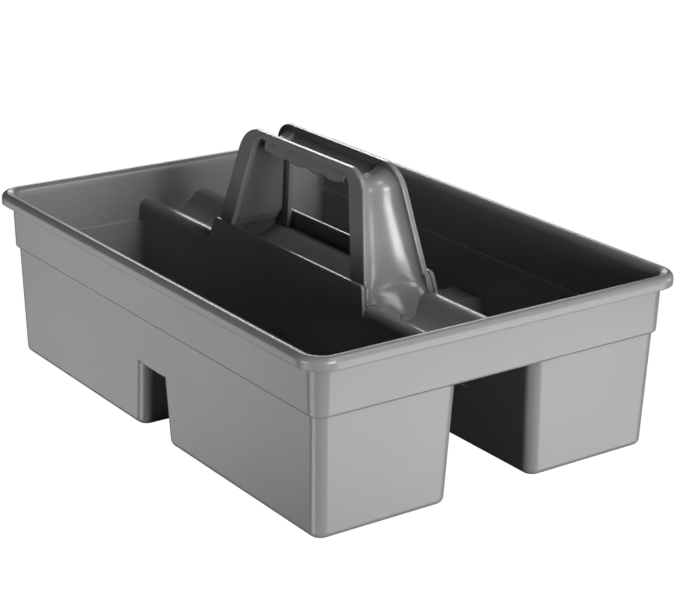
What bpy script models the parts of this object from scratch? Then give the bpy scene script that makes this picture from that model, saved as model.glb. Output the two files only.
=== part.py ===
"""Tool storage caddy: a thin-walled two-bin tray with a divider, and an arched carrying handle.

X runs along the tray, -Y is the front long side, +Z is up and the feet stand on z = 0.
All dimensions below are in millimetres; the meshes are written in metres.
"""

import math

import bmesh
import bpy

MM = 0.001

# Tray outline and rim
LENGTH = 400.0
WIDTH = 285.8
RIM_Z = 119.5
RIM_CORNER = 18.0
WALL = 2.6
LIP_BOTTOM_Z = 111.3
LIP_RADIUS = 3.8
RIM_INNER_RADIUS = 6.3

# Upper band, step and lower walls: insets are measured in from the rim outline
BAND_TOP_INSET = 7.5
BAND_DRAFT = 0.0322
STEP_Z = 79.0
STEP_RADIUS = 2.0
LOW_INSET = 10.9
LOW_DRAFT = 0.0291
LEDGE_Z = 82.2

# Bins, feet and the cross channel under each bin
CHANNEL_HALF = 32.4
CHANNEL_DRAFT = 0.046
FOOT_CORNER = 8.0
FOOT_EDGE = 4.0
FLOOR_FILLET = 3.0
NOTCH_Z = 47.2
NOTCH_HALF = 15.8
NOTCH_DRAFT = 0.10
SADDLE_Z = NOTCH_Z + 3.0

# Divider: a hollow ridge with a rounded lip each side and a V trough between
ROLL_Z = 90.5
ROLL_RADIUS = 6.5
CREST_Y = 24.3
CREST_Z = 87.0
CREST_RADIUS = 10.0
TROUGH_Z = 101.7
TROUGH_RADIUS = 17.0
TUNNEL_HALF = 188.8

# Handle arch
FACE_Y = 26.7
FACE_LEAN = 0.143
LEG_X = 88.6
LEG_LEAN = 0.256
WINDOW_X = 73.0
WINDOW_LEAN = 0.27
REF_Z = 100.0
TOP_Z = 177.6
WINDOW_TOP_Z = 173.2
OUTER_CORNER = 20.0
INNER_CORNER = 12.0
FLANGE = 4.4
EDGE = 1.1
TROUGH_DEPTH = 10.0
TROUGH_START_Z = (101.0, 116.0)
TROUGH_RISE = 2.0
CROWN_Z = (150.0, 172.0)
SHOULDER = 9.0
CROWN_SHOULDER = 5.0
WINDOW_INSET = 4.0
FOOT_WALL = 2.8
FOOT_BLEND_Z = (100.0, 113.0)
FOOT_FLAT_Z = (100.0, 104.0)
FOOT_LEVELS = (99.0, 101.0, 103.0, 105.0, 107.0)
LEG_LEVELS = (112.0, 115.0, 119.0, 130.0, 146.0)
FOOT_STEP = 1.8
FOOT_STEP_Z = 108.6
GRIP_PITCH = 21.3
GRIP_BUMP = 2.3
GRIP_DEPTH = 14.3
GRIP_HALF = 47.0
GRIP_END = 1.6
GRIP_SWELL = 0.5
GRIP_TROUGH = 3.2
GRIP_SHOULDER = 8.0
GRIP_INSET = 3.0
TOE_REACH = 5.6
TOE_HALF = 13.5
TOE_Z = (92.0, 107.0)

# Collar walls on the divider, round the feet of the handle
COLLAR_WALL = 3.0
COLLAR_TOP_Z = 109.6
COLLAR_EDGE = 1.0
GAP = 0.3
SEAT_GAP = 0.4

# Snap tongue under each toe, and its slot
TONGUE_X = (96.2, 98.5)
TONGUE_HALF = 5.0
TONGUE_BOTTOM_Z = 77.6
BARB_Z = 81.4
BARB_REACH = 1.5

# Mesh steps, and the angle from which an edge is shaded sharp
CORNER_STEPS = 5
SECTION_STEPS = 6
SHARP_ANGLE = 40.0

HALF_X = LENGTH / 2
HALF_Y = WIDTH / 2


class Skin:
    """Faces given by their corner points, joined wherever they share a point."""

    def __init__(self):
        self.mesh = bmesh.new()
        self.known = {}

    def vert(self, point):
        key = tuple(round(c * 2000) for c in point)
        if key not in self.known:
            self.known[key] = self.mesh.verts.new([c * MM for c in point])
        return self.known[key]

    def face(self, points):
        corners = []
        for point in points:
            corner = self.vert(point)
            if corner not in corners:
                corners.append(corner)
        if len(corners) > 2:
            self.mesh.faces.new(corners)

    def band(self, first, second, closed=True):
        count = len(first)
        for i in range(count if closed else count - 1):
            j = (i + 1) % count
            self.face([first[i], first[j], second[j], second[i]])

    def finish(self, name, material):
        bmesh.ops.recalc_face_normals(self.mesh, faces=self.mesh.faces)
        data = bpy.data.meshes.new(name)
        self.mesh.to_mesh(data)
        self.mesh.free()
        data.shade_smooth()
        data.set_sharp_from_angle(angle=math.radians(SHARP_ANGLE))
        data.materials.append(material)
        obj = bpy.data.objects.new(name, data)
        bpy.context.scene.collection.objects.link(obj)
        return obj


def clear_scene():
    for obj in list(bpy.data.objects):
        bpy.data.objects.remove(obj, do_unlink=True)


def plastic(name, colour, roughness):
    material = bpy.data.materials.new(name)
    material.use_nodes = True
    shader = material.node_tree.nodes["Principled BSDF"]
    shader.inputs["Base Color"].default_value = (*colour, 1.0)
    shader.inputs["Roughness"].default_value = roughness
    shader.inputs["Metallic"].default_value = 0.0
    return material


def arc(cx, cy, radius, start, end, steps):
    """Points on an arc, with angles in degrees and both ends included."""
    points = []
    for i in range(steps + 1):
        angle = math.radians(start + (end - start) * i / steps)
        points.append((cx + radius * math.cos(angle), cy + radius * math.sin(angle)))
    return points


def rounded_box(x0, x1, y0, y1, radius, z):
    """Rounded rectangle from corner (x1, y0) anticlockwise, CORNER_STEPS + 1 points to a corner."""
    flat = arc(x1 - radius, y0 + radius, radius, -90, 0, CORNER_STEPS)
    flat += arc(x1 - radius, y1 - radius, radius, 0, 90, CORNER_STEPS)
    flat += arc(x0 + radius, y1 - radius, radius, 90, 180, CORNER_STEPS)
    flat += arc(x0 + radius, y0 + radius, radius, 180, 270, CORNER_STEPS)
    return [(x, y, z) for x, y in flat]


def corner(loop, index):
    size = CORNER_STEPS + 1
    return loop[index * size : (index + 1) * size]


def rim_loop(inset, z):
    x, y = HALF_X - inset, HALF_Y - inset
    return rounded_box(-x, x, -y, y, RIM_CORNER - inset, z)


def band_inset(z):
    return BAND_TOP_INSET + (RIM_Z - RIM_INNER_RADIUS - z) * BAND_DRAFT


def low_inset(z):
    return LOW_INSET + (STEP_Z - z) * LOW_DRAFT


def channel_y(z):
    return CHANNEL_HALF - z * CHANNEL_DRAFT


def divider_y(z):
    return channel_y(z) + WALL


def notch_x(z):
    return NOTCH_HALF - z * NOTCH_DRAFT


def end_x(z):
    """Inner face of the end wall above the ledge."""
    return HALF_X - band_inset(z) - WALL


def bin_box(z, wall, inset=0.0, inner_x=None):
    """Outline of the front bin, or of its +X half when inner_x is given."""
    shrink = wall + inset
    x1 = HALF_X - low_inset(z) - shrink
    x0 = -x1 if inner_x is None else inner_x + shrink
    y0 = -(HALF_Y - low_inset(z) - shrink)
    y1 = -(channel_y(z) + shrink)
    return rounded_box(x0, x1, y0, y1, FOOT_CORNER - shrink, z)


def flip(points, sx, sy):
    return [(sx * x, sy * y, z) for x, y, z in points]


def face_y(z):
    """Half width of the handle across its outer faces."""
    return FACE_Y - FACE_LEAN * (z - REF_Z)


def leg_x(z):
    """Outer edge of a handle leg."""
    return LEG_X - LEG_LEAN * (z - REF_Z)


def window_x(z):
    """Edge of the handle window beside a leg."""
    return WINDOW_X - WINDOW_LEAN * (z - REF_Z)


def collar_x(z):
    return leg_x(z) + FOOT_STEP


def smooth(low, high, value):
    t = min(max((value - low) / (high - low), 0.0), 1.0)
    return t * t * (3 - 2 * t)


def tangent_angle():
    """Slope of the trough sides, which touch both the trough arc and the crest arc."""
    dy, dz = CREST_Y, CREST_Z - TROUGH_Z
    total = TROUGH_RADIUS + CREST_RADIUS
    return math.asin(total / math.hypot(dy, dz)) + math.atan2(dz, dy)


SLOPE = math.degrees(tangent_angle())
ROLL_Y = divider_y(ROLL_Z) - ROLL_RADIUS


def ridge_z(y):
    """Height of the divider's top surface."""
    y = abs(y)
    lean = math.radians(SLOPE)
    low = TROUGH_RADIUS * math.sin(lean)
    high = CREST_Y - CREST_RADIUS * math.sin(lean)
    if y <= low:
        return TROUGH_Z - math.sqrt(TROUGH_RADIUS**2 - y * y)
    if y <= high:
        return TROUGH_Z - TROUGH_RADIUS * math.cos(lean) + (y - low) * math.tan(lean)
    if y <= CREST_Y:
        return CREST_Z + math.sqrt(CREST_RADIUS**2 - (CREST_Y - y) ** 2)
    return ROLL_Z + math.sqrt(ROLL_RADIUS**2 - max(y - ROLL_Y, 0.0) ** 2)


def junction_angle():
    """Angle on the roll, from straight up, where the collar's inner face rises from it."""
    low, high = 0.0, 90.0
    for _ in range(40):
        middle = (low + high) / 2
        y = ROLL_Y + ROLL_RADIUS * math.sin(math.radians(middle))
        z = ROLL_Z + ROLL_RADIUS * math.cos(math.radians(middle))
        if y < face_y(z) + GAP:
            low = middle
        else:
            high = middle
    return low


JUNCTION = junction_angle()


def divider_arcs(thin):
    """Half profile of the divider from the trough out to the junction, thinned by thin."""
    points = arc(0, TROUGH_Z, TROUGH_RADIUS + thin, -90, -90 + SLOPE, 3)
    points += arc(CREST_Y, CREST_Z, CREST_RADIUS - thin, 90 + SLOPE, 90, 3)
    points += arc(ROLL_Y, ROLL_Z, ROLL_RADIUS - thin, 90, 90 - JUNCTION, 2)
    return points


def roll_arc(thin):
    """The roll from the junction out to the divider's side face."""
    return arc(ROLL_Y, ROLL_Z, ROLL_RADIUS - thin, 90 - JUNCTION, 0, 4)


def collar_profile():
    """Collar wall from the junction on the roll up, over and down to the divider's side face."""
    inner, outer = GAP, GAP + COLLAR_WALL
    low, top = COLLAR_TOP_Z - COLLAR_EDGE, COLLAR_TOP_Z
    return [
        (face_y(low) + inner, low),
        (face_y(top) + inner + 0.3 * COLLAR_EDGE, top - 0.3 * COLLAR_EDGE),
        (face_y(top) + inner + COLLAR_EDGE, top),
        (face_y(top) + outer - COLLAR_EDGE, top),
        (face_y(top) + outer - 0.3 * COLLAR_EDGE, top - 0.3 * COLLAR_EDGE),
        (face_y(low) + outer, low),
    ]


def add_rim(skin):
    crest_z = RIM_Z - RIM_INNER_RADIUS
    lip_z = RIM_Z - LIP_RADIUS
    top = [(0.5, LIP_BOTTOM_Z), (0.0, LIP_BOTTOM_Z + 0.5)]
    top += arc(LIP_RADIUS, lip_z, LIP_RADIUS, 180, 90, 4)
    top += arc(LIP_RADIUS, crest_z, RIM_INNER_RADIUS, 90, 0, 5)[1:]
    top.append((band_inset(REF_Z) + WALL, REF_Z))
    under = [(WALL, LIP_BOTTOM_Z)]
    under += arc(LIP_RADIUS, lip_z, LIP_RADIUS - WALL, 180, 90, 2)
    under += arc(LIP_RADIUS, crest_z, RIM_INNER_RADIUS - WALL, 90, 0, 3)[1:]
    step = band_inset(STEP_Z + STEP_RADIUS)
    under += arc(step + STEP_RADIUS, STEP_Z + STEP_RADIUS, STEP_RADIUS, 180, 270, 3)
    for profile in (top, under):
        for (d0, z0), (d1, z1) in zip(profile, profile[1:]):
            skin.band(rim_loop(d0, z0), rim_loop(d1, z1))
    skin.band(rim_loop(*top[0]), rim_loop(*under[0]))
    return rim_loop(*under[-1])


def add_step_underside(skin, outer):
    """Flat underside of the step, holed by the two bins and by the channel between them."""
    hole = []
    for side in (-1, 1):
        loop = bin_box(STEP_Z, 0.0)
        path = corner(loop, 1)[::-1] + corner(loop, 0)[::-1]
        path += corner(loop, 3)[::-1] + corner(loop, 2)[::-1]
        y = channel_y(STEP_Z)
        path = [(TUNNEL_HALF, -y, STEP_Z)] + path + [(-TUNNEL_HALF, -y, STEP_Z)]
        hole += path if side < 0 else flip(path, 1, -1)[::-1]
    edges = []
    for loop in (outer, hole):
        verts = [skin.vert(point) for point in loop]
        for first, second in zip(verts, verts[1:] + verts[:1]):
            edge = skin.mesh.edges.get((first, second))
            edges.append(edge or skin.mesh.edges.new((first, second)))
    bmesh.ops.triangle_fill(skin.mesh, use_beauty=True, use_dissolve=False, edges=edges)


def add_tunnel(skin):
    """Underside of the divider, open below between the bins."""
    half = divider_arcs(WALL) + roll_arc(WALL)[1:] + [(channel_y(STEP_Z), STEP_Z)]
    profile = [(-y, z) for y, z in half[::-1]] + half[1:]
    for (y0, z0), (y1, z1) in zip(profile, profile[1:]):
        low = [(-TUNNEL_HALF, y0, z0), (TUNNEL_HALF, y0, z0)]
        high = [(TUNNEL_HALF, y1, z1), (-TUNNEL_HALF, y1, z1)]
        inner = FOOT_CORNER - (HALF_X - low_inset(STEP_Z))
        if z0 == STEP_Z:
            low[1:1] = [(inner, y0, z0), (-inner, y0, z0)]
        if z1 == STEP_Z:
            high[1:1] = [(-inner, y1, z1), (inner, y1, z1)]
        skin.face(low + high)
    for side in (-1, 1):
        skin.face([(side * TUNNEL_HALF, y, z) for y, z in profile])


def add_bin_skin(skin, side, top_z, low_z, wall, floor_z, fillet):
    """One skin of a bin: its walls, the bridge over the cross channel and its two feet."""
    top = bin_box(top_z, wall)
    low = bin_box(low_z, wall)
    right = bin_box(low_z, wall, inner_x=notch_x(low_z))
    left = flip(right, -1, 1)
    front_cut = [corner(left, 3)[-1], corner(right, 3)[-1]]
    back_cut = [corner(right, 2)[0], corner(left, 2)[0]]
    add_walls(skin, side, top, low, front_cut, back_cut)
    bridge = corner(right, 3)[::-1] + corner(right, 2)[::-1]
    bridge += corner(left, 2) + corner(left, 3)
    skin.face(flip(bridge, 1, side))
    for end in (-1, 1):
        levels = [(low_z, 0.0)]
        levels += [(floor_z + fillet - z, d) for d, z in arc(fillet, 0, fillet, 180, 90, 3)]
        loops = [bin_box(z, wall, d, notch_x(z)) for z, d in levels]
        add_stack(skin, [flip(loop, end, side) for loop in loops])
    return top


def add_walls(skin, side, top, low, front_cut, back_cut):
    """Walls between two outlines, with extra points on the lower edge of both long walls."""
    count = len(top)
    for i in range(count):
        j = (i + 1) % count
        extra = []
        if i == count - 1:
            extra = front_cut
        if i == 2 * CORNER_STEPS + 1:
            extra = back_cut
        points = [top[j], top[i], low[i]] + extra + [low[j]]
        skin.face(flip(points, 1, side))


def add_stack(skin, loops):
    for first, second in zip(loops, loops[1:]):
        skin.band(first, second)
    skin.face(loops[-1])


def add_ledge(skin, side, bin_top):
    """Ledge round a bin, and the band's inner wall above it."""
    outer = rim_loop(band_inset(LEDGE_Z) + WALL, LEDGE_Z)
    high = rim_loop(band_inset(REF_Z) + WALL, REF_Z)
    y = -divider_y(LEDGE_Z)
    right, left = (end_x(LEDGE_Z), y, LEDGE_Z), (-end_x(LEDGE_Z), y, LEDGE_Z)
    size = CORNER_STEPS + 1
    inside = corner(bin_top, 1)[::-1] + corner(bin_top, 0)[::-1]
    inside += corner(bin_top, 3)[::-1] + corner(bin_top, 2)[::-1]
    outside = [right] * size + corner(outer, 0)[::-1]
    outside += corner(outer, 3)[::-1] + [left] * size
    skin.band(flip(inside, 1, side), flip(outside, 1, side), closed=False)
    wall_low = corner(outer, 3) + corner(outer, 0)
    wall_high = corner(high, 3) + corner(high, 0)
    skin.band(flip(wall_low, 1, side), flip(wall_high, 1, side), closed=False)


def add_divider(skin):
    """Top of the divider and its collar, and the end walls that it runs into."""
    inner = divider_arcs(0.0)
    roll = roll_arc(0.0)
    collar = [roll[0]] + collar_profile() + [roll[-1]]
    foot = (divider_y(LEDGE_Z), LEDGE_Z)
    bin_end = HALF_X - low_inset(LEDGE_Z) - FOOT_CORNER
    for side in (-1, 1):
        for (y0, z0), (y1, z1) in zip(inner, inner[1:]):
            outer_edge = [(-end_x(z1), side * y1, z1), (end_x(z1), side * y1, z1)]
            if (y1, z1) == inner[-1]:
                outer_edge[1:1] = [(-collar_x(z1), side * y1, z1), (collar_x(z1), side * y1, z1)]
            inner_edge = [(end_x(z0), side * y0, z0), (-end_x(z0), side * y0, z0)]
            skin.face(outer_edge + inner_edge)
        for (y0, z0), (y1, z1) in zip(collar, collar[1:]):
            low = [(-collar_x(z0), side * y0, z0), (collar_x(z0), side * y0, z0)]
            high = [(collar_x(z1), side * y1, z1), (-collar_x(z1), side * y1, z1)]
            skin.face(low + high)
        for end in (-1, 1):
            for (y0, z0), (y1, z1) in zip(roll, roll[1:]):
                outside = [(end * end_x(z0), side * y0, z0), (end * end_x(z1), side * y1, z1)]
                inside = [(end * collar_x(z1), side * y1, z1), (end * collar_x(z0), side * y0, z0)]
                skin.face(outside + inside)
            ring = collar + roll[-2:0:-1]
            skin.face([(end * collar_x(z), side * y, z) for y, z in ring])
        y, z = roll[-1]
        upper = [(x, side * y, z) for x in (end_x(z), collar_x(z), -collar_x(z), -end_x(z))]
        y, z = foot
        lower = [(x, side * y, z) for x in (-end_x(z), -bin_end, bin_end, end_x(z))]
        skin.face(upper + lower)
    half = inner + roll[1:] + [foot]
    profile = [(-y, z) for y, z in half[::-1]] + half[1:]
    ledge = rim_loop(band_inset(LEDGE_Z) + WALL, LEDGE_Z)
    high = rim_loop(band_inset(REF_Z) + WALL, REF_Z)
    for end in (-1, 1):
        wall = [(end * end_x(z), y, z) for y, z in profile]
        top = [corner(ledge, 1)[0], corner(high, 1)[0], corner(high, 0)[-1], corner(ledge, 0)[-1]]
        skin.face(wall + flip(top, end, 1))


def build_tray(material):
    skin = Skin()
    outer = add_rim(skin)
    add_step_underside(skin, outer)
    add_tunnel(skin)
    for side in (-1, 1):
        add_bin_skin(skin, side, STEP_Z, NOTCH_Z, 0.0, 0.0, FOOT_EDGE)
        bin_top = add_bin_skin(skin, side, LEDGE_Z, SADDLE_Z, WALL, WALL, FLOOR_FILLET)
        add_ledge(skin, side, bin_top)
    add_divider(skin)
    return skin.finish("tray", material)


def arch_corner(radius, edge_x, lean, top_z):
    """Points of a rounded upper corner, from the leg up to the level top."""
    tilt = math.degrees(math.atan(lean))
    reach = radius * math.tan(math.radians(90 - tilt) / 2)
    return arc(edge_x(top_z) - reach, top_z - radius, radius, tilt, 90, CORNER_STEPS + 1)


def arch_stations():
    """Outer edge point, inner edge point and outward angle, from the right foot to mid grip."""
    outer = arch_corner(OUTER_CORNER, leg_x, LEG_LEAN, TOP_Z)
    inner = arch_corner(INNER_CORNER, window_x, WINDOW_LEAN, WINDOW_TOP_Z)
    bend_outer, bend_inner = outer[0][1], inner[0][1]
    tilt = math.atan(LEG_LEAN)
    stations = []
    for z in (*FOOT_LEVELS, FOOT_STEP_Z - 0.5, FOOT_STEP_Z + 0.5, *LEG_LEVELS):
        rise = max(z - LEG_LEVELS[0], 0.0) / (bend_outer - LEG_LEVELS[0])
        inner_z = z + (bend_inner - bend_outer) * rise
        outer_x = leg_x(z) + (FOOT_STEP if z < FOOT_STEP_Z else 0.0)
        stations.append(((outer_x, z), (window_x(inner_z), inner_z), tilt * rise))
    for i, pair in enumerate(zip(outer, inner)):
        stations.append((*pair, tilt + (math.pi / 2 - tilt) * i / (len(outer) - 1)))
    spots = [GRIP_HALF + step * GRIP_END for step in (1.0, 0.3, -0.3, -1.0)]
    spots += [GRIP_PITCH * (11 - i) / 6 for i in range(12)]
    ratio = inner[-1][0] / outer[-1][0]
    for x in spots:
        stations.append(((x, TOP_Z), (x * ratio, WINDOW_TOP_Z), math.pi / 2))
    return stations


def grip_amount(x):
    return 1.0 - smooth(GRIP_HALF - GRIP_END, GRIP_HALF + GRIP_END, abs(x))


def toe_reach(y, z):
    width = max(1.0 - abs(y / TOE_HALF) ** 3, 0.0)
    low, high = TOE_Z
    rise = min(max((high - z) / (high - low), 0.0), 1.0)
    return TOE_REACH * math.sqrt(width) * (1.0 - (1.0 - rise) ** 2)


def arch_section(outer, inner, angle, bottom=0.0):
    """Half of a closed section of the arch: its outer row, its edge and its window-side row.

    bottom runs from 0 at the first station to 1 at the foot's end on the divider.
    """
    ox, oz = outer
    ix, iz = inner
    nx, nz = math.cos(angle), math.sin(angle)
    grip = grip_amount(ox) if oz > WINDOW_TOP_Z else 0.0
    crown = smooth(*CROWN_Z, oz)
    trough_floor = (TROUGH_DEPTH - TROUGH_RISE * crown) * smooth(*TROUGH_START_Z, oz)
    trough_floor += GRIP_TROUGH * grip
    in_foot = 1.0 - smooth(*FOOT_BLEND_Z, oz)
    bump = abs(math.sin(math.pi * ox / GRIP_PITCH))
    web = trough_floor + WALL
    web += (GRIP_DEPTH + GRIP_BUMP * bump - web) * grip
    inset = WINDOW_INSET + (GRIP_INSET - GRIP_SWELL * bump - WINDOW_INSET) * grip
    shoulder = SHOULDER + (CROWN_SHOULDER - SHOULDER) * crown
    shoulder += (GRIP_SHOULDER - shoulder) * grip
    flat = smooth(*FOOT_FLAT_Z, oz)

    def settle(x, y, z):
        low = z + (ridge_z(y) + SEAT_GAP - z) * bottom
        return x + leg_x(low) - leg_x(z), y, low

    def inward(fraction, offset, depth):
        x, z = ox - nx * depth, oz - nz * depth
        return settle(x, fraction * (face_y(z) - offset), z)

    def outward(offset, height):
        x, z = ix + nx * height, iz + nz * height
        return settle(x, face_y(z) - offset, z)

    def trough(turn):
        depth = EDGE + (max(trough_floor, EDGE) - EDGE) * math.cos(turn)
        x, y, z = inward(math.sin(turn), FLANGE, depth * flat)
        return x + toe_reach(y, z), y, z

    def window(turn):
        power = 1.0 - 0.5 * grip
        depth = shoulder + (web - shoulder) * max(math.cos(turn), 0.0) ** power
        x, y, z = inward(math.sin(turn) ** power, inset, depth)
        tx, _, tz = trough(turn)
        tx, tz = tx - nx * FOOT_WALL, tz - nz * FOOT_WALL
        return x + (tx - x) * in_foot, y, z + (tz - z) * in_foot

    turns = [math.pi / 2 * i / SECTION_STEPS for i in range(SECTION_STEPS + 1)]
    edge = [
        inward(1, FLANGE - 0.3 * EDGE, 0.3 * EDGE * flat),
        inward(1, FLANGE - EDGE, 0.0),
        inward(1, EDGE, 0.0),
        inward(1, 0.3 * EDGE, 0.3 * EDGE),
        inward(1, 0.0, EDGE),
        outward(0.0, EDGE),
        outward(0.3 * EDGE, 0.3 * EDGE),
        outward(EDGE, 0.0),
        outward(inset - 0.5, 0.0),
        outward(inset, 0.5),
    ]
    return [trough(turn) for turn in turns], edge, [window(turn) for turn in turns]


def build_handle(material):
    """The arch as one closed skin, lofted from the right foot over to the left one."""
    skin = Skin()
    stations = arch_stations()
    half = [arch_section(*stations[0], bottom=bottom) for bottom in (1.0, 0.66, 0.33)]
    half += [arch_section(*station) for station in stations]
    sections = []
    for row_out, edge, row_in in half:
        ring = row_out + edge + row_in[::-1]
        sections.append(flip(ring, 1, -1)[:0:-1] + ring[:-1])
    sections += [flip(ring, -1, 1) for ring in sections[:-1][::-1]]
    for first, second in zip(sections, sections[1:]):
        skin.band(first, second)
    row_out, edge, row_in = half[0]
    for end in (-1, 1):
        for side in (-1, 1):
            skin.band(flip(row_out, end, side), flip(row_in, end, side), closed=False)
            rim = [row_out[-1]] + edge + [row_in[-1]]
            skin.face(flip(rim, end, side))
    return skin.finish("handle", material)


def block(name, corners, half_y):
    """A helper solid: a profile in X and Z carried across Y."""
    skin = Skin()
    front = [(x, -half_y, z) for x, z in corners]
    back = [(x, half_y, z) for x, z in corners]
    skin.band(front, back)
    skin.face(front)
    skin.face(back)
    obj = skin.finish(name, bpy.data.materials[0])
    obj.hide_render = True
    obj.display_type = "WIRE"
    return obj


def combine(target, helper, operation):
    modifier = target.modifiers.new(helper.name, "BOOLEAN")
    modifier.operation = operation
    modifier.solver = "EXACT"
    modifier.object = helper


def add_tongues(tray, handle):
    """A barbed snap tongue under each toe, through a slot in the divider."""
    near, far = TONGUE_X
    top = 89.0
    for side in (-1, 1):
        tongue = [
            (near, top),
            (far, top),
            (far, TONGUE_BOTTOM_Z + 0.8),
            (far - 0.8, TONGUE_BOTTOM_Z),
            (near - 0.3, TONGUE_BOTTOM_Z),
            (near - BARB_REACH, BARB_Z - 0.6),
            (near - BARB_REACH, BARB_Z),
            (near, BARB_Z),
        ]
        slot = [(near - 0.4, 95.0), (far + 0.4, 95.0), (far + 0.4, 70.0), (near - 0.4, 70.0)]
        label = "right" if side > 0 else "left"
        tongue = block(f"tongue_{label}", [(side * x, z) for x, z in tongue], TONGUE_HALF)
        slot = block(f"slot_{label}", [(side * x, z) for x, z in slot], TONGUE_HALF + 0.5)
        combine(handle, tongue, "UNION")
        combine(tray, slot, "DIFFERENCE")


def main():
    clear_scene()
    grey = plastic("grey_plastic", (0.19, 0.19, 0.195), 0.36)
    handle_grey = plastic("handle_grey_plastic", (0.19, 0.19, 0.195), 0.33)
    tray = build_tray(grey)
    handle = build_handle(handle_grey)
    add_tongues(tray, handle)


main()
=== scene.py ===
"""Looks of the tool storage caddy: fine-surfaced tray and handle in satin grey moulded plastic.

X runs along the tray, -Y is the front long side, +Z is up and the feet stand on z = 0.
Shapes are worked out in millimetres and written in metres.
"""

import math

import bmesh
import bpy
from mathutils import Matrix, Vector


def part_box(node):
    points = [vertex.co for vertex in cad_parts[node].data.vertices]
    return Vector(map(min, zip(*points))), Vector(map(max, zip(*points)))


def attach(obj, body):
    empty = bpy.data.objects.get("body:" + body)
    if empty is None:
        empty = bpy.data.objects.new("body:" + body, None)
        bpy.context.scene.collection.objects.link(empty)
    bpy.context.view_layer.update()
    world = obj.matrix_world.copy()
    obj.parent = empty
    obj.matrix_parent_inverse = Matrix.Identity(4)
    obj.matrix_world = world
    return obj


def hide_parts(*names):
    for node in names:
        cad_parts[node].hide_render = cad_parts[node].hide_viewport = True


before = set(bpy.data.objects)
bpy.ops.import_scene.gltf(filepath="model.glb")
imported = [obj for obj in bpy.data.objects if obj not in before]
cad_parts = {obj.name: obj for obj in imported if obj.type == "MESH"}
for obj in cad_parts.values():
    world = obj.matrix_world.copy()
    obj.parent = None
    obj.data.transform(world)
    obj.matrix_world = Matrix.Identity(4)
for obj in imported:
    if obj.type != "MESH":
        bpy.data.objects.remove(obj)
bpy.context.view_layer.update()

MM = 0.001

# Driving sizes, read from the frame
TRAY_BOX = [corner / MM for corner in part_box("tray")]
HANDLE_BOX = [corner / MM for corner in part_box("handle")]
HALF_X, HALF_Y, RIM_Z = TRAY_BOX[1]
TOP_Z = HANDLE_BOX[1].z

# Rim and walls
RIM_CORNER = 18.0
WALL = 2.6
LIP_BOTTOM_Z = 111.3
LIP_RADIUS = 3.8
LIP_EDGE = 0.7
RIM_INNER_RADIUS = 6.3
REF_Z = 100.0

# Upper band, step and lower walls: insets are measured in from the rim outline
BAND_TOP_INSET = 7.5
BAND_DRAFT = 0.0322
STEP_Z = 79.0
STEP_RADIUS = 2.0
LOW_INSET = 10.9
LOW_DRAFT = 0.0291
LEDGE_Z = 82.2

# Bins, feet and the cross channel under each bin
CHANNEL_HALF = 32.4
CHANNEL_DRAFT = 0.046
FOOT_CORNER = 8.0
FOOT_EDGE = 4.0
FLOOR_FILLET = 3.0
NOTCH_Z = 47.2
NOTCH_HALF = 15.8
NOTCH_DRAFT = 0.10
SADDLE_Z = NOTCH_Z + 3.0

# Divider: a hollow ridge with a rounded lip each side and a rounded trough between
ROLL_Z = 90.5
ROLL_RADIUS = 6.5
CREST_Z = 87.0
CREST_RADIUS = 10.0
TROUGH_Z = 101.7
TROUGH_RADIUS = 17.0
TUNNEL_HALF = 188.8

# Handle arch
FACE_Y = 26.7
FACE_LEAN = 0.143
LEG_X = 88.6
LEG_LEAN = 0.256
WINDOW_X = 73.0
WINDOW_LEAN = 0.27
WINDOW_TOP_Z = 173.2
OUTER_CORNER = 20.0
INNER_CORNER = 12.0
FLANGE = 4.4
EDGE = 1.1
INNER_EDGE = 0.5
INNER_CUT = 0.15
TROUGH_DEPTH = 10.0
TROUGH_START_Z = (84.0, 110.0)
TROUGH_RISE = 2.0
CROWN_Z = (150.0, 172.0)
SHOULDER = 9.0
CROWN_SHOULDER = 5.0
WINDOW_INSET = 4.0
FOOT_WALL = 2.8
FOOT_BLEND_Z = (100.0, 113.0)
TOE_BLEND_Z = (96.0, 122.0)
FOOT_FLAT_Z = (100.0, 104.0)
FOOT_STEP = 1.8
FOOT_STEP_Z = 108.6
FOOT_STEP_RISE = 1.2
STEP_SPREAD = 3.0
FOOT_LOW_Z = 99.0
LEG_LOW_Z = 112.0
GRIP_PITCH = 21.3
GRIP_BUMP = 2.3
GRIP_VALLEY = 0.01
GRIP_FULLNESS = 0.5
GRIP_DEPTH = 14.3
GRIP_HALF = 47.0
GRIP_END = 1.6
GRIP_SWELL = 0.5
GRIP_TROUGH = 3.2
GRIP_SHOULDER = 8.0
GRIP_INSET = 3.0
TOE_REACH = 6.0
TOE_HALF = 18.0
TOE_Z = (85.0, 116.0)

# Collar walls on the divider, round the feet of the handle
COLLAR_WALL = 3.0
COLLAR_LOW_Z = 97.5
COLLAR_TOP_Z = 109.6
COLLAR_EDGE = 1.0
COLLAR_CORNER = 3.0
GAP = 0.3
SEAT_GAP = 0.4

# Snap tongue under each toe, and its slot
TONGUE_X = (96.2, 98.5)
TONGUE_HALF = 5.0
TONGUE_Z = (77.6, 89.0)
TONGUE_CHAMFER = 0.8
BARB_Z = 81.4
BARB_REACH = 1.5
BARB_FACE = 0.6
BARB_TIP = 0.3
SLOT_Z = (70.0, 95.0)
SLOT_GAP_X = 0.4
SLOT_GAP_Y = 0.5

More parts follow.
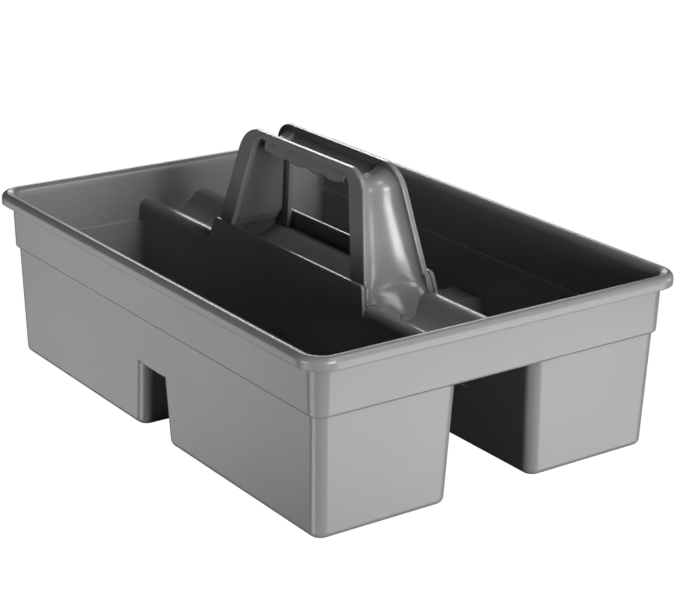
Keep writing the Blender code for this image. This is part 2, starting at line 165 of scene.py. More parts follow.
# Edge rounding and mesh fineness
EDGE_ROUND = 0.6
ROUND_STEPS = 3
ROUND_ANGLE = 32.0
CREASE_ANGLE = 50.0
FACE_WEIGHT = 80
WELDS_PER_MM = 2000
CORNER_STEPS = 12
SMALL_EDGE_STEPS = 3
LIP_STEPS = 9
UNDER_LIP_STEPS = 4
STEP_STEPS = 6
FILLET_STEPS = 6
TROUGH_STEPS = 6
INNER_ROLL_STEPS = 4
OUTER_ROLL_STEPS = 8
COLLAR_EDGE_STEPS = 4
COLLAR_CORNER_STEPS = 5
SECTION_STEPS = 16
FLANGE_STEPS = 5
TOE_STEPS = 12
FOOT_STEPS = 12
FOOT_STEP_STEPS = 5
LEG_STEPS = 26
GRIP_END_STEPS = 8
GRIP_STEPS = 14

# Plastic: noise scales per metre, tones as factors of the colour, ripple in metres
PLASTIC_COLOUR = (0.2, 0.2, 0.205)
TRAY_ROUGHNESS = 0.29
HANDLE_ROUGHNESS = 0.26
PLASTIC_IOR = 1.49
MOTTLE_SCALE = 14.0
MOTTLE_TONE = (0.95, 1.05)
SPECKLE_SCALE = 520.0
SPECKLE_TONE = (0.992, 1.008)
# Painted highlight on convex edges: the pointiness range it covers and how much lighter it makes the
# colour
EDGE_HIGHLIGHT_RANGE = (0.52, 0.62)
EDGE_HIGHLIGHT_TONE = 1.12
SMUDGE_SCALE = 18.0
SMUDGE_DULLS = 0.02
SMUDGE_POLISHES = 0.015
RIPPLE_SCALE = 70.0
RIPPLE_STRENGTH = 0.16
RIPPLE_HEIGHT = 0.0001

# Camera: 105 mm lens on a 36 mm sensor, looking down at the front right corner
LENS = 105.13
SENSOR_WIDTH = 36.0
CAMERA_AT = (1.0387, -0.7242, 0.5225)
CAMERA_YAW = 54.48
CAMERA_PITCH = 19.91
CAMERA_ROLL = 0.93

# Studio: soft boxes by azimuth from +X and elevation, in degrees, with sizes in metres and power in watts.
# Those below the horizon stand for light that a pale floor would throw back up.
LIGHT_AIM = (0.0, 0.0, 0.08)
LIGHT_DISTANCE = 2.0
LIGHTS = (
    ("right_level", 0.0, 5.0, (0.9, 0.6), 35.0),
    ("right_high", 5.0, 28.0, (0.7, 0.5), 8.0),
    ("high_key", 35.0, 58.0, (0.8, 0.6), 12.0),
    ("front_level", -90.0, -3.0, (0.9, 0.5), 13.0),
    ("front_bounce", -90.0, -30.0, (0.9, 0.7), 9.0),
    ("right_bounce", 35.0, -20.0, (0.9, 0.7), 9.0),
    ("left_bounce", -145.0, -20.0, (0.9, 0.7), 4.0),
    ("back_left", 145.0, 22.0, (0.9, 0.3), 8.0),
    ("back_right", 66.0, 5.0, (0.4, 0.6), 6.0),
)
AMBIENT = 0.01
BACKDROP_GLOW = 1.02
STUDIO_REACH = 12000.0
FLOOR_Z = -0.2
CARD_Z = -0.1


class Skin:
    """Faces given by their corner points, joined wherever they share a point."""

    def __init__(self):
        self.mesh = bmesh.new()
        self.known = {}

    def vert(self, point):
        key = tuple(round(c * WELDS_PER_MM) for c in point)
        if key not in self.known:
            self.known[key] = self.mesh.verts.new([c * MM for c in point])
        return self.known[key]

    def face(self, points):
        corners = []
        for point in points:
            corner = self.vert(point)
            if corner not in corners:
                corners.append(corner)
        if len(corners) > 2:
            self.mesh.faces.new(corners)

    def band(self, first, second, closed=True):
        count = len(first)
        for i in range(count if closed else count - 1):
            j = (i + 1) % count
            self.face([first[i], first[j], second[j], second[i]])

    def finish(self, name, material):
        bmesh.ops.recalc_face_normals(self.mesh, faces=self.mesh.faces)
        data = bpy.data.meshes.new(name)
        self.mesh.to_mesh(data)
        self.mesh.free()
        data.materials.append(material)
        obj = bpy.data.objects.new(name, data)
        bpy.context.scene.collection.objects.link(obj)
        return obj


def arc(cx, cy, radius, start, end, steps):
    """Points on an arc, with angles in degrees and both ends included."""
    points = []
    for i in range(steps + 1):
        angle = math.radians(start + (end - start) * i / steps)
        points.append((cx + radius * math.cos(angle), cy + radius * math.sin(angle)))
    return points


def spread(start, end, count):
    """count + 1 even steps from start to end, both included."""
    return [start + (end - start) * i / count for i in range(count + 1)]


def smooth(low, high, value):
    """0 below low, 1 above high and an S curve between them."""
    t = min(max((value - low) / (high - low), 0.0), 1.0)
    return t * t * (3 - 2 * t)


def flip(points, sx, sy):
    """Points mirrored in X or Y where sx or sy is -1."""
    return [(sx * x, sy * y, z) for x, y, z in points]


# ---------------------------------------------------------------- tray shape


def rounded_box(x0, x1, y0, y1, radius, z):
    """Rounded rectangle from corner (x1, y0) anticlockwise, CORNER_STEPS + 1 points to a corner."""
    flat = arc(x1 - radius, y0 + radius, radius, -90, 0, CORNER_STEPS)
    flat += arc(x1 - radius, y1 - radius, radius, 0, 90, CORNER_STEPS)
    flat += arc(x0 + radius, y1 - radius, radius, 90, 180, CORNER_STEPS)
    flat += arc(x0 + radius, y0 + radius, radius, 180, 270, CORNER_STEPS)
    return [(x, y, z) for x, y in flat]


def corner(loop, index):
    size = CORNER_STEPS + 1
    return loop[index * size : (index + 1) * size]


def clockwise(loop):
    """The loop run backwards, from corner 1 round to corner 2."""
    path = []
    for index in (1, 0, 3, 2):
        path += corner(loop, index)[::-1]
    return path


def rim_loop(inset, z):
    x, y = HALF_X - inset, HALF_Y - inset
    return rounded_box(-x, x, -y, y, RIM_CORNER - inset, z)


def band_inset(z):
    return BAND_TOP_INSET + (RIM_Z - RIM_INNER_RADIUS - z) * BAND_DRAFT


def low_inset(z):
    return LOW_INSET + (STEP_Z - z) * LOW_DRAFT


def channel_y(z):
    return CHANNEL_HALF - z * CHANNEL_DRAFT


def divider_y(z):
    return channel_y(z) + WALL


def notch_x(z):
    return NOTCH_HALF - z * NOTCH_DRAFT


def end_x(z):
    """Inner face of the end wall above the ledge."""
    return HALF_X - band_inset(z) - WALL


def bin_box(z, wall, inset=0.0, inner_x=None):
    """Outline of the front bin, or of its +X half when inner_x is given."""
    shrink = wall + inset
    x1 = HALF_X - low_inset(z) - shrink
    x0 = -x1 if inner_x is None else inner_x + shrink
    y0 = -(HALF_Y - low_inset(z) - shrink)
    y1 = -(channel_y(z) + shrink)
    return rounded_box(x0, x1, y0, y1, FOOT_CORNER - shrink, z)


def face_y(z):
    """Half width of the handle across its outer faces."""
    return FACE_Y - FACE_LEAN * (z - REF_Z)


def leg_x(z):
    """Outer edge of a handle leg."""
    return LEG_X - LEG_LEAN * (z - REF_Z)


def window_x(z):
    """Edge of the handle window beside a leg."""
    return WINDOW_X - WINDOW_LEAN * (z - REF_Z)


def collar_x(z):
    """End of a collar wall, rounded off at its top corner."""
    over = max(z - (COLLAR_TOP_Z - COLLAR_CORNER), 0.0)
    drop = COLLAR_CORNER - math.sqrt(max(COLLAR_CORNER**2 - over**2, 0.0))
    return leg_x(z) + FOOT_STEP - drop


# The crest arc and the roll share a centre line, so their tops meet with no flat between them
ROLL_Y = divider_y(ROLL_Z) - ROLL_RADIUS
CREST_Y = ROLL_Y


def tangent_angle():
    """Slope of the trough sides, which touch both the trough arc and the crest arc."""
    dy, dz = CREST_Y, CREST_Z - TROUGH_Z
    total = TROUGH_RADIUS + CREST_RADIUS
    return math.asin(total / math.hypot(dy, dz)) + math.atan2(dz, dy)


SLOPE = math.degrees(tangent_angle())


def ridge_z(y):
    """Height of the divider's top surface."""
    y = abs(y)
    lean = math.radians(SLOPE)
    low = TROUGH_RADIUS * math.sin(lean)
    high = CREST_Y - CREST_RADIUS * math.sin(lean)
    if y <= low:
        return TROUGH_Z - math.sqrt(TROUGH_RADIUS**2 - y * y)
    if y <= high:
        return TROUGH_Z - TROUGH_RADIUS * math.cos(lean) + (y - low) * math.tan(lean)
    if y <= CREST_Y:
        return CREST_Z + math.sqrt(CREST_RADIUS**2 - (CREST_Y - y) ** 2)
    return ROLL_Z + math.sqrt(ROLL_RADIUS**2 - max(y - ROLL_Y, 0.0) ** 2)


def junction_angle():
    """Angle on the roll, from straight up, where the collar's inner face rises from it."""
    low, high = 0.0, 90.0
    for _ in range(40):
        middle = (low + high) / 2
        y = ROLL_Y + ROLL_RADIUS * math.sin(math.radians(middle))
        z = ROLL_Z + ROLL_RADIUS * math.cos(math.radians(middle))
        if y < face_y(z) + GAP:
            low = middle
        else:
            high = middle
    return low


JUNCTION = junction_angle()


def divider_arcs(thin):
    """Half profile of the divider from the trough out to the junction, thinned by thin."""
    points = arc(0, TROUGH_Z, TROUGH_RADIUS + thin, -90, -90 + SLOPE, TROUGH_STEPS)
    points += arc(CREST_Y, CREST_Z, CREST_RADIUS - thin, 90 + SLOPE, 90, TROUGH_STEPS)
    points += arc(ROLL_Y, ROLL_Z, ROLL_RADIUS - thin, 90, 90 - JUNCTION, INNER_ROLL_STEPS)
    return points


def roll_arc(thin):
    """The roll from the junction out to the divider's side face."""
    return arc(ROLL_Y, ROLL_Z, ROLL_RADIUS - thin, 90 - JUNCTION, 0, OUTER_ROLL_STEPS)


def collar_sides():
    """Inner and outer side of the collar wall, from low to high, at the same heights."""
    corner_low = COLLAR_TOP_Z - COLLAR_CORNER
    edge_low = COLLAR_TOP_Z - COLLAR_EDGE
    heights = [COLLAR_LOW_Z] + spread(corner_low, edge_low, COLLAR_CORNER_STEPS)
    inner = [(face_y(z) + GAP, z) for z in heights]
    outer = [(face_y(z) + GAP + COLLAR_WALL, z) for z in heights]
    for y, z in arc(COLLAR_EDGE, edge_low, COLLAR_EDGE, 180, 90, COLLAR_EDGE_STEPS)[1:]:
        inner.append((face_y(z) + GAP + y, z))
        outer.append((face_y(z) + GAP + COLLAR_WALL - y, z))
    return inner, outer


def add_rim(skin):
    crest_z = RIM_Z - RIM_INNER_RADIUS
    lip_z = RIM_Z - LIP_RADIUS
    edge_z = LIP_BOTTOM_Z + LIP_EDGE
    top = arc(LIP_EDGE, edge_z, LIP_EDGE, 270, 180, SMALL_EDGE_STEPS)
    top += arc(LIP_RADIUS, lip_z, LIP_RADIUS, 180, 90, LIP_STEPS)
    top += arc(LIP_RADIUS, crest_z, RIM_INNER_RADIUS, 90, 0, CORNER_STEPS)[1:]
    top.append((band_inset(REF_Z) + WALL, REF_Z))
    under = arc(WALL - LIP_EDGE, edge_z, LIP_EDGE, -90, 0, SMALL_EDGE_STEPS)
    under += arc(LIP_RADIUS, lip_z, LIP_RADIUS - WALL, 180, 90, UNDER_LIP_STEPS)
    under += arc(LIP_RADIUS, crest_z, RIM_INNER_RADIUS - WALL, 90, 0, CORNER_STEPS // 2)[1:]
    step = band_inset(STEP_Z + STEP_RADIUS)
    under += arc(step + STEP_RADIUS, STEP_Z + STEP_RADIUS, STEP_RADIUS, 180, 270, STEP_STEPS)
    for profile in (top, under):
        for (d0, z0), (d1, z1) in zip(profile, profile[1:]):
            skin.band(rim_loop(d0, z0), rim_loop(d1, z1))
    skin.band(rim_loop(*top[0]), rim_loop(*under[0]))
    return rim_loop(*under[-1])


def add_step_underside(skin, outer):
    """Flat underside of the step, holed by the two bins and by the channel between them."""
    hole = []
    for side in (-1, 1):
        y = channel_y(STEP_Z)
        path = [(TUNNEL_HALF, -y, STEP_Z)] + clockwise(bin_box(STEP_Z, 0.0))
        path.append((-TUNNEL_HALF, -y, STEP_Z))
        hole += path if side < 0 else flip(path, 1, -1)[::-1]
    edges = []
    for loop in (outer, hole):
        verts = [skin.vert(point) for point in loop]
        for first, second in zip(verts, verts[1:] + verts[:1]):
            edge = skin.mesh.edges.get((first, second))
            edges.append(edge or skin.mesh.edges.new((first, second)))
    bmesh.ops.triangle_fill(skin.mesh, use_beauty=True, use_dissolve=False, edges=edges)


def add_tunnel(skin):
    """Underside of the divider, open below between the bins."""
    half = divider_arcs(WALL) + roll_arc(WALL)[1:] + [(channel_y(STEP_Z), STEP_Z)]
    profile = [(-y, z) for y, z in half[::-1]] + half[1:]
    for (y0, z0), (y1, z1) in zip(profile, profile[1:]):
        low = [(-TUNNEL_HALF, y0, z0), (TUNNEL_HALF, y0, z0)]
        high = [(TUNNEL_HALF, y1, z1), (-TUNNEL_HALF, y1, z1)]
        inner = FOOT_CORNER - (HALF_X - low_inset(STEP_Z))
        if z0 == STEP_Z:
            low[1:1] = [(inner, y0, z0), (-inner, y0, z0)]
        if z1 == STEP_Z:
            high[1:1] = [(-inner, y1, z1), (inner, y1, z1)]
        skin.face(low + high)
    for side in (-1, 1):
        skin.face([(side * TUNNEL_HALF, y, z) for y, z in profile])


def add_walls(skin, side, top, low, front_cut, back_cut):
    """Walls between two outlines, with extra points on the lower edge of both long walls."""
    count = len(top)
    for i in range(count):
        j = (i + 1) % count
        extra = []
        if i == count - 1:
            extra = front_cut
        if i == 2 * CORNER_STEPS + 1:
            extra = back_cut
        points = [top[j], top[i], low[i]] + extra + [low[j]]
        skin.face(flip(points, 1, side))


def add_stack(skin, loops):
    for first, second in zip(loops, loops[1:]):
        skin.band(first, second)
    skin.face(loops[-1])


def add_bin_skin(skin, side, top_z, low_z, wall, floor_z, fillet):
    """One skin of a bin: upper walls, the bridge over the cross channel and two foot pockets."""
    top = bin_box(top_z, wall)
    low = bin_box(low_z, wall)
    right = bin_box(low_z, wall, inner_x=notch_x(low_z))
    left = flip(right, -1, 1)
    front_cut = [corner(left, 3)[-1], corner(right, 3)[-1]]
    back_cut = [corner(right, 2)[0], corner(left, 2)[0]]
    add_walls(skin, side, top, low, front_cut, back_cut)
    bridge = corner(right, 3)[::-1] + corner(right, 2)[::-1]
    bridge += corner(left, 2) + corner(left, 3)
    skin.face(flip(bridge, 1, side))
    for end in (-1, 1):
        levels = [(low_z, 0.0)]
        round_foot = arc(fillet, 0, fillet, 180, 90, FILLET_STEPS)
        levels += [(floor_z + fillet - z, d) for d, z in round_foot]
        loops = [bin_box(z, wall, d, notch_x(z)) for z, d in levels]
        add_stack(skin, [flip(loop, end, side) for loop in loops])
    return top


def add_ledge(skin, side, bin_top):
    """Ledge round a bin, and the band's inner wall above it."""
    outer = rim_loop(band_inset(LEDGE_Z) + WALL, LEDGE_Z)
    high = rim_loop(band_inset(REF_Z) + WALL, REF_Z)
    y = -divider_y(LEDGE_Z)
    right, left = (end_x(LEDGE_Z), y, LEDGE_Z), (-end_x(LEDGE_Z), y, LEDGE_Z)
    size = CORNER_STEPS + 1
    inside = clockwise(bin_top)
    outside = [right] * size + corner(outer, 0)[::-1]
    outside += corner(outer, 3)[::-1] + [left] * size
    skin.band(flip(inside, 1, side), flip(outside, 1, side), closed=False)
    wall_low = corner(outer, 3) + corner(outer, 0)
    wall_high = corner(high, 3) + corner(high, 0)
    skin.band(flip(wall_low, 1, side), flip(wall_high, 1, side), closed=False)


def add_strip(skin, side, x_of, low_point, high_point):
    """A strip along X between two profile points, its ends at x_of(z)."""
    (y0, z0), (y1, z1) = low_point, high_point
    low = [(-x_of(z0), side * y0, z0), (x_of(z0), side * y0, z0)]
    high = [(x_of(z1), side * y1, z1), (-x_of(z1), side * y1, z1)]
    skin.face(low + high)


def add_collar(skin, side, roll):
    """Collar wall standing on the roll, with rounded top edges and end corners."""
    inner, outer = collar_sides()
    for row in ([roll[0]] + inner, [roll[-1]] + outer):
        for first, second in zip(row, row[1:]):
            add_strip(skin, side, collar_x, first, second)
    add_strip(skin, side, collar_x, inner[-1], outer[-1])
    for end in (-1, 1):
        foot = roll + [outer[0], inner[0]]
        skin.face([(end * collar_x(z), side * y, z) for y, z in foot])
        rows = [[(end * collar_x(z), side * y, z) for y, z in row] for row in (inner, outer)]
        skin.band(*rows, closed=False)


def add_divider(skin):
    """Top of the divider and its collar, and the end walls that it runs into."""
    inner = divider_arcs(0.0)
    roll = roll_arc(0.0)
    foot = (divider_y(LEDGE_Z), LEDGE_Z)
    bin_end = HALF_X - low_inset(LEDGE_Z) - FOOT_CORNER
    for side in (-1, 1):
        for (y0, z0), (y1, z1) in zip(inner, inner[1:]):
            outer_edge = [(-end_x(z1), side * y1, z1), (end_x(z1), side * y1, z1)]
            if (y1, z1) == inner[-1]:
                outer_edge[1:1] = [(-collar_x(z1), side * y1, z1), (collar_x(z1), side * y1, z1)]
            inner_edge = [(end_x(z0), side * y0, z0), (-end_x(z0), side * y0, z0)]
            skin.face(outer_edge + inner_edge)
        add_collar(skin, side, roll)
        for end in (-1, 1):
            for (y0, z0), (y1, z1) in zip(roll, roll[1:]):
                outside = [(end * end_x(z0), side * y0, z0), (end * end_x(z1), side * y1, z1)]
                inside = [(end * collar_x(z1), side * y1, z1), (end * collar_x(z0), side * y0, z0)]
                skin.face(outside + inside)
        y, z = roll[-1]
        upper = [(x, side * y, z) for x in (end_x(z), collar_x(z), -collar_x(z), -end_x(z))]
        y, z = foot
        lower = [(x, side * y, z) for x in (-end_x(z), -bin_end, bin_end, end_x(z))]
        skin.face(upper + lower)
    half = inner + roll[1:] + [foot]
    profile = [(-y, z) for y, z in half[::-1]] + half[1:]
    ledge = rim_loop(band_inset(LEDGE_Z) + WALL, LEDGE_Z)
    high = rim_loop(band_inset(REF_Z) + WALL, REF_Z)
    for end in (-1, 1):
        wall = [(end * end_x(z), y, z) for y, z in profile]
        top = [corner(ledge, 1)[0], corner(high, 1)[0], corner(high, 0)[-1], corner(ledge, 0)[-1]]
        skin.face(wall + flip(top, end, 1))


def build_tray(material):
    skin = Skin()
    outer = add_rim(skin)
    add_step_underside(skin, outer)
    add_tunnel(skin)
    for side in (-1, 1):
        add_bin_skin(skin, side, STEP_Z, NOTCH_Z, 0.0, 0.0, FOOT_EDGE)
        top = add_bin_skin(skin, side, LEDGE_Z, SADDLE_Z, WALL, WALL, FLOOR_FILLET)
        add_ledge(skin, side, top)
    add_divider(skin)
    return skin.finish("tray_shell", material)


# -------------------------------------------------------------- handle shape


def arch_corner(radius, edge_x, lean, top_z):
    """Points of a rounded upper corner, from the leg up to the level top."""
    tilt = math.degrees(math.atan(lean))
    reach = radius * math.tan(math.radians(90 - tilt) / 2)
    return arc(edge_x(top_z) - reach, top_z - radius, radius, tilt, 90, 2 * CORNER_STEPS)


def arch_stations():
    """Outer edge point, inner edge point and outward angle, from the right foot to mid grip."""
    outer = arch_corner(OUTER_CORNER, leg_x, LEG_LEAN, TOP_Z)
    inner = arch_corner(INNER_CORNER, window_x, WINDOW_LEAN, WINDOW_TOP_Z)
    bend_outer, bend_inner = outer[0][1], inner[0][1]
    tilt = math.atan(LEG_LEAN)
    step_low, step_high = FOOT_STEP_Z - FOOT_STEP_RISE / 2, FOOT_STEP_Z + FOOT_STEP_RISE / 2
    heights = spread(FOOT_LOW_Z, step_low, FOOT_STEPS)[:-1]
    heights += spread(step_low, step_high, FOOT_STEP_STEPS)
    heights += spread(step_high, bend_outer, LEG_STEPS)[1:-1]
    stations = []
    for z in heights:
        rise = max(z - LEG_LOW_Z, 0.0) / (bend_outer - LEG_LOW_Z)
        inner_z = z + (bend_inner - bend_outer) * rise
        outer_x = leg_x(z) + FOOT_STEP * (1.0 - smooth(step_low, step_high, z))
        stations.append(((outer_x, z), (window_x(inner_z), inner_z), tilt * rise))
    for i, pair in enumerate(zip(outer, inner)):
        stations.append((*pair, tilt + (math.pi / 2 - tilt) * i / (len(outer) - 1)))
    ratio = inner[-1][0] / outer[-1][0]
    spots = spread(GRIP_HALF + GRIP_END, GRIP_HALF - GRIP_END, GRIP_END_STEPS)
    last_bump = 2 * GRIP_PITCH
    spots += spread(last_bump, 0.0, 4 * GRIP_STEPS)
    for x in spots:
        stations.append(((x, TOP_Z), (x * ratio, WINDOW_TOP_Z), math.pi / 2))
    return stations


def grip_amount(x):
    """1 along the finger grip, falling to 0 past its ends."""
    return 1.0 - smooth(GRIP_HALF - GRIP_END, GRIP_HALF + GRIP_END, abs(x))


def toe_reach(y, z):
    """How far the rounded toe stands out from the foot of a leg."""
    across = 1.0 - smooth(0.0, TOE_HALF, abs(y))
    return TOE_REACH * across * (1.0 - smooth(*TOE_Z, z))


def arch_section(outer, inner, angle, bottom=0.0):
    """Half of a closed section of the arch: its outer row, its edge and its window-side row.

    bottom runs from 0 at the first station to 1 at the foot's end on the divider. Within a
    section, turn runs from 0 at the middle of the channel to a right angle at its flange.
    """
    ox, oz = outer
    ix, iz = inner
    nx, nz = math.cos(angle), math.sin(angle)
    grip = grip_amount(ox) if oz > WINDOW_TOP_Z else 0.0
    crown = smooth(*CROWN_Z, oz)
    full_depth = TROUGH_DEPTH - TROUGH_RISE * crown + GRIP_TROUGH * grip
    in_foot = 1.0 - smooth(*FOOT_BLEND_Z, oz)
    bump = math.sqrt(math.sin(math.pi * ox / GRIP_PITCH) ** 2 + GRIP_VALLEY)
    web = full_depth * smooth(*TROUGH_START_Z, oz) + WALL
    web += (GRIP_DEPTH + GRIP_BUMP * bump - web) * grip
    inset = WINDOW_INSET + (GRIP_INSET - GRIP_SWELL * bump - WINDOW_INSET) * grip
    shoulder = SHOULDER + (CROWN_SHOULDER - SHOULDER) * crown
    shoulder += (GRIP_SHOULDER - shoulder) * grip
    flat = smooth(*FOOT_FLAT_Z, oz)
    # The flanges step at the foot, while the floor of the channel swells out gently
    gentle = FOOT_STEP * (1.0 - smooth(*TOE_BLEND_Z, oz)) + leg_x(oz) - ox

    def settle(x, y, z):
        low = z + (ridge_z(y) + SEAT_GAP - z) * bottom
        return x + leg_x(low) - leg_x(z), y, low

    def inward(fraction, offset, depth):
        x, z = ox - nx * depth, oz - nz * depth
        return settle(x, fraction * (face_y(z) - offset), z)

    def outward(offset, height):
        x, z = ix + nx * height, iz + nz * height
        return settle(x, face_y(z) - offset, z)

    def trough(turn):
        x, y, z = inward(math.sin(turn), FLANGE, 0.0)
        hollow = (full_depth - EDGE) * smooth(*TROUGH_START_Z, z)
        depth = EDGE * flat + hollow * math.cos(turn)
        x, z = x - nx * depth, z - nz * depth
        if oz < CROWN_Z[0]:
            x += gentle * min(1.0, STEP_SPREAD * math.cos(turn))
        return x + toe_reach(y, z), y, z

    def window(turn):
        power = 1.0 - GRIP_FULLNESS * grip
        depth = shoulder + (web - shoulder) * max(math.cos(turn), 0.0) ** power
        x, y, z = inward(math.sin(turn) ** power, inset, depth)
        tx, _, tz = trough(turn)
        tx, tz = tx - nx * FOOT_WALL, tz - nz * FOOT_WALL
        return x + (tx - x) * in_foot, y, z + (tz - z) * in_foot

    turns = spread(0.0, math.pi / 2, SECTION_STEPS)
    bend = arc(EDGE, EDGE, EDGE, 180, 270, FLANGE_STEPS)
    edge = [inward(1, FLANGE - d, h * flat) for d, h in bend[1:]]
    edge += [inward(1, d, h) for h, d in bend]
    edge += [outward(d, h) for d, h in bend]
    edge.append(outward(inset - INNER_EDGE, 0.0))
    edge.append(outward(inset - INNER_CUT, INNER_CUT))
    edge.append(outward(inset, INNER_EDGE))
    return [trough(turn) for turn in turns], edge, [window(turn) for turn in turns]


def build_handle(material):
    """The arch as one closed skin, lofted from the right foot over to the left one."""
    skin = Skin()
    stations = arch_stations()
    bottoms = spread(1.0, 0.0, TOE_STEPS)[:-1]
    half = [arch_section(*stations[0], bottom=bottom) for bottom in bottoms]
    half += [arch_section(*station) for station in stations]
    sections = []
    for row_out, edge, row_in in half:
        ring = row_out + edge + row_in[::-1]
        sections.append(flip(ring, 1, -1)[:0:-1] + ring[:-1])
    sections += [flip(ring, -1, 1) for ring in sections[:-1][::-1]]
    for first, second in zip(sections, sections[1:]):
        skin.band(first, second)
    row_out, edge, row_in = half[0]
    for end in (-1, 1):
        for side in (-1, 1):
            skin.band(flip(row_out, end, side), flip(row_in, end, side), closed=False)
            rim = [row_out[-1]] + edge + [row_in[-1]]
            skin.face(flip(rim, end, side))
    return skin.finish("carry_handle", material)


# ------------------------------------------------------ finishing the meshes


def apply_modifiers(obj):
    graph = bpy.context.evaluated_depsgraph_get()
    data = bpy.data.meshes.new_from_object(obj.evaluated_get(graph))
    obj.modifiers.clear()
    obj.data = data


def round_edges(obj):
    bevel = obj.modifiers.new("round", "BEVEL")
    bevel.width = EDGE_ROUND * MM
    bevel.segments = ROUND_STEPS
    bevel.limit_method = "ANGLE"
    bevel.angle_limit = math.radians(ROUND_ANGLE)
    bevel.use_clamp_overlap = False
    bevel.miter_outer = "MITER_ARC"
    apply_modifiers(obj)


def even_normals(obj):
    """Smooth shading whose normals follow the large faces, so flat walls stay flat."""
    obj.data.shade_smooth()
    obj.data.set_sharp_from_angle(angle=math.radians(CREASE_ANGLE))
    weighted = obj.modifiers.new("normals", "WEIGHTED_NORMAL")
    weighted.keep_sharp = True
    weighted.weight = FACE_WEIGHT


def block(name, corners, half_y, material):
    """A profile in X and Z carried across Y."""
    skin = Skin()
    front = [(x, -half_y, z) for x, z in corners]
    back = [(x, half_y, z) for x, z in corners]
    skin.band(front, back)
    skin.face(front)
    skin.face(back)
    return skin.finish(name, material)


def combine(target, helper, operation):
    modifier = target.modifiers.new(helper.name, "BOOLEAN")
    modifier.operation = operation
    modifier.solver = "EXACT"
    modifier.object = helper
    apply_modifiers(target)
    bpy.data.objects.remove(helper, do_unlink=True)


def add_tongues(tray, handle, material):
    """A barbed snap tongue under each toe, through a slot in the divider."""
    near, far = TONGUE_X
    low, high = TONGUE_Z
    tongue = [
        (near, high),
        (far, high),
        (far, low + TONGUE_CHAMFER),
        (far - TONGUE_CHAMFER, low),
        (near - BARB_TIP, low),
        (near - BARB_REACH, BARB_Z - BARB_FACE),
        (near - BARB_REACH, BARB_Z),
        (near, BARB_Z),
    ]
    near, far = near - SLOT_GAP_X, far + SLOT_GAP_X
    low, high = SLOT_Z
    slot = [(near, high), (far, high), (far, low), (near, low)]
    slot_half = TONGUE_HALF + SLOT_GAP_Y
    for side in (-1, 1):
        peg = block("tongue", [(side * x, z) for x, z in tongue], TONGUE_HALF, material)
        hole = block("slot", [(side * x, z) for x, z in slot], slot_half, material)
        combine(handle, peg, "UNION")
        combine(tray, hole, "DIFFERENCE")


# ----------------------------------------------------------------- materials


def link(tree, source, target):
    tree.links.new(source, target)


def noise(tree, vector, scale, detail=2.0, roughness=0.5):
    node = tree.nodes.new("ShaderNodeTexNoise")
    node.inputs["Scale"].default_value = scale
    node.inputs["Detail"].default_value = detail
    node.inputs["Roughness"].default_value = roughness
    link(tree, vector, node.inputs["Vector"])
    return node.outputs["Fac"]


def remap(tree, value, low, high, to_low, to_high):
    node = tree.nodes.new("ShaderNodeMapRange")
    limits = {"From Min": low, "From Max": high, "To Min": to_low, "To Max": to_high}
    for socket, limit in limits.items():
        node.inputs[socket].default_value = limit
    link(tree, value, node.inputs["Value"])
    return node.outputs["Result"]


def multiply(tree, first, second):
    node = tree.nodes.new("ShaderNodeMath")
    node.operation = "MULTIPLY"
    link(tree, first, node.inputs[0])
    link(tree, second, node.inputs[1])
    return node.outputs["Value"]


def moulded_plastic(name, colour, roughness):
    """Satin moulded plastic: faint flow mottling and ripple, a painted highlight that lightens the colour
    on convex edges, and soft handling marks in the roughness.
    """
    material = bpy.data.materials.new(name)
    material.use_nodes = True
    tree = material.node_tree
    shader = tree.nodes["Principled BSDF"]
    place = tree.nodes.new("ShaderNodeTexCoord").outputs["Object"]
    mottle = remap(tree, noise(tree, place, MOTTLE_SCALE, 4.0, 0.6), 0.15, 0.85, *MOTTLE_TONE)
    speckle = remap(tree, noise(tree, place, SPECKLE_SCALE, 1.0), 0.3, 0.7, *SPECKLE_TONE)
    # Painted highlight: convex edges, picked out by pointiness, are lightened in the base colour
    edges = tree.nodes.new("ShaderNodeNewGeometry").outputs["Pointiness"]
    painted_edge_highlight = remap(tree, edges, *EDGE_HIGHLIGHT_RANGE, 1.0, EDGE_HIGHLIGHT_TONE)
    tint = tree.nodes.new("ShaderNodeVectorMath")
    tint.operation = "SCALE"
    tint.inputs[0].default_value = colour
    link(tree, multiply(tree, multiply(tree, mottle, speckle), painted_edge_highlight), tint.inputs["Scale"])
    link(tree, tint.outputs["Vector"], shader.inputs["Base Color"])
    duller, glossier = roughness + SMUDGE_DULLS, roughness - SMUDGE_POLISHES
    smudge = remap(tree, noise(tree, place, SMUDGE_SCALE, 1.0), 0.1, 0.9, glossier, duller)
    link(tree, smudge, shader.inputs["Roughness"])
    bump = tree.nodes.new("ShaderNodeBump")
    bump.inputs["Strength"].default_value = RIPPLE_STRENGTH
    bump.inputs["Distance"].default_value = RIPPLE_HEIGHT
    link(tree, noise(tree, place, RIPPLE_SCALE), bump.inputs["Height"])
    link(tree, bump.outputs["Normal"], shader.inputs["Normal"])
    shader.inputs["IOR"].default_value = PLASTIC_IOR
    return material


# --------------------------------------------------------------------- stage


def camera():
    yaw, pitch, roll = (math.radians(a) for a in (CAMERA_YAW, CAMERA_PITCH, CAMERA_ROLL))
    ahead = Vector((-math.sin(yaw) * math.cos(pitch), math.cos(yaw) * math.cos(pitch), -math.sin(pitch)))
    level = Vector((math.cos(yaw), math.sin(yaw), 0.0))
    upright = level.cross(ahead)
    right = math.cos(roll) * level + math.sin(roll) * upright
    up = math.cos(roll) * upright - math.sin(roll) * level
    data = bpy.data.cameras.new("camera")
    data.lens = LENS
    data.sensor_fit = "HORIZONTAL"
    data.sensor_width = SENSOR_WIDTH
    data.clip_end = 100.0
    obj = bpy.data.objects.new("camera", data)
    obj.matrix_world = Matrix.Translation(CAMERA_AT) @ Matrix((right, up, -ahead)).transposed().to_4x4()
    bpy.context.scene.collection.objects.link(obj)
    bpy.context.scene.camera = obj


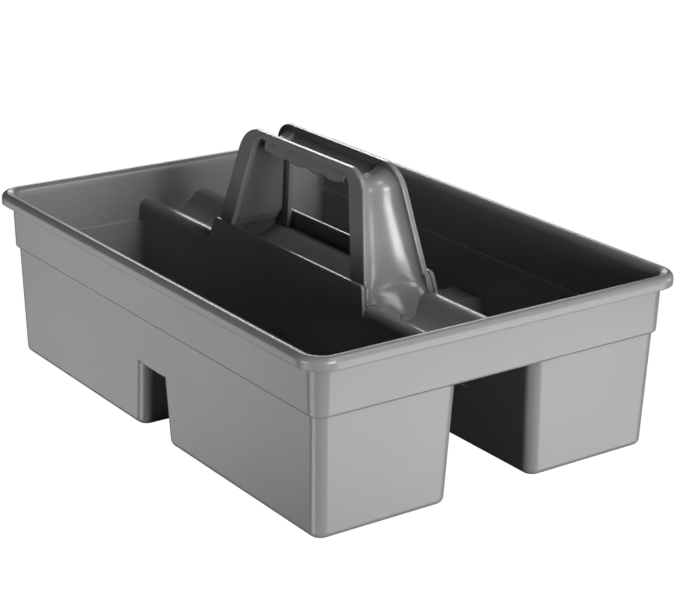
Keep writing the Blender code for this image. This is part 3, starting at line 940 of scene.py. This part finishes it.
def soft_light(name, azimuth, elevation, size, power):
    """A soft box aimed at the caddy from LIGHT_DISTANCE away, unseen by the camera."""
    data = bpy.data.lights.new(name, "AREA")
    data.shape = "RECTANGLE"
    data.size, data.size_y = size
    data.energy = power
    turn, rise = math.radians(azimuth), math.radians(elevation)
    away = Vector((math.cos(rise) * math.cos(turn), math.cos(rise) * math.sin(turn), math.sin(rise)))
    obj = bpy.data.objects.new(name, data)
    obj.location = Vector(LIGHT_AIM) + away * LIGHT_DISTANCE
    obj.rotation_euler = away.to_track_quat("Z", "Y").to_euler()
    obj.visible_camera = False
    bpy.context.scene.collection.objects.link(obj)


def rectangle(half_x, half_y, z):
    return [(-half_x, -half_y, z), (half_x, -half_y, z), (half_x, half_y, z), (-half_x, half_y, z)]


def shade_card(half_x, half_y):
    """A dark card under the caddy, unseen by the camera, that keeps light out of the channels."""
    skin = Skin()
    skin.face(rectangle(half_x, half_y, CARD_Z))
    material = bpy.data.materials.new("dark_card")
    material.use_nodes = True
    shader = material.node_tree.nodes["Principled BSDF"]
    shader.inputs["Base Color"].default_value = (0.01, 0.01, 0.01, 1.0)
    shader.inputs["Roughness"].default_value = 1.0
    shader.inputs["Specular IOR Level"].default_value = 0.0
    obj = skin.finish("shade_card", material)
    obj.visible_camera = False


def studio():
    """Plain white floor and backdrop that light nothing, so the soft boxes alone shape the caddy."""
    skin = Skin()
    low = rectangle(STUDIO_REACH, STUDIO_REACH, FLOOR_Z)
    high = rectangle(STUDIO_REACH, STUDIO_REACH, STUDIO_REACH)
    skin.band(low, high)
    skin.face(low)
    skin.face(high)
    material = bpy.data.materials.new("pale_studio")
    material.use_nodes = True
    shader = material.node_tree.nodes["Principled BSDF"]
    shader.inputs["Base Color"].default_value = (0.0, 0.0, 0.0, 1.0)
    shader.inputs["Specular IOR Level"].default_value = 0.0
    shader.inputs["Emission Color"].default_value = (1.0, 1.0, 1.0, 1.0)
    shader.inputs["Emission Strength"].default_value = BACKDROP_GLOW
    obj = skin.finish("studio", material)
    obj.visible_diffuse = False
    obj.visible_glossy = False
    obj.visible_shadow = False
    world = bpy.data.worlds.new("ambient")
    world.use_nodes = True
    sky = world.node_tree.nodes["Background"]
    sky.inputs["Color"].default_value = (1.0, 1.0, 1.0, 1.0)
    sky.inputs["Strength"].default_value = AMBIENT
    bpy.context.scene.world = world


def main():
    camera()
    bpy.context.scene.view_settings.view_transform = "Standard"
    tray_plastic = moulded_plastic("tray_plastic", PLASTIC_COLOUR, TRAY_ROUGHNESS)
    handle_plastic = moulded_plastic("handle_plastic", PLASTIC_COLOUR, HANDLE_ROUGHNESS)
    tray = build_tray(tray_plastic)
    handle = build_handle(handle_plastic)
    round_edges(tray)
    add_tongues(tray, handle, handle_plastic)
    for piece, node, slot in ((tray, "tray", "tray_plastic"), (handle, "handle", "handle_plastic")):
        even_normals(piece)
        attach(piece, "root")
        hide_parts(node)
    studio()
    shade_card(HALF_X - low_inset(0.0), HALF_Y - low_inset(0.0))
    for name, azimuth, elevation, size, power in LIGHTS:
        soft_light(name, azimuth, elevation, size, power)


main()
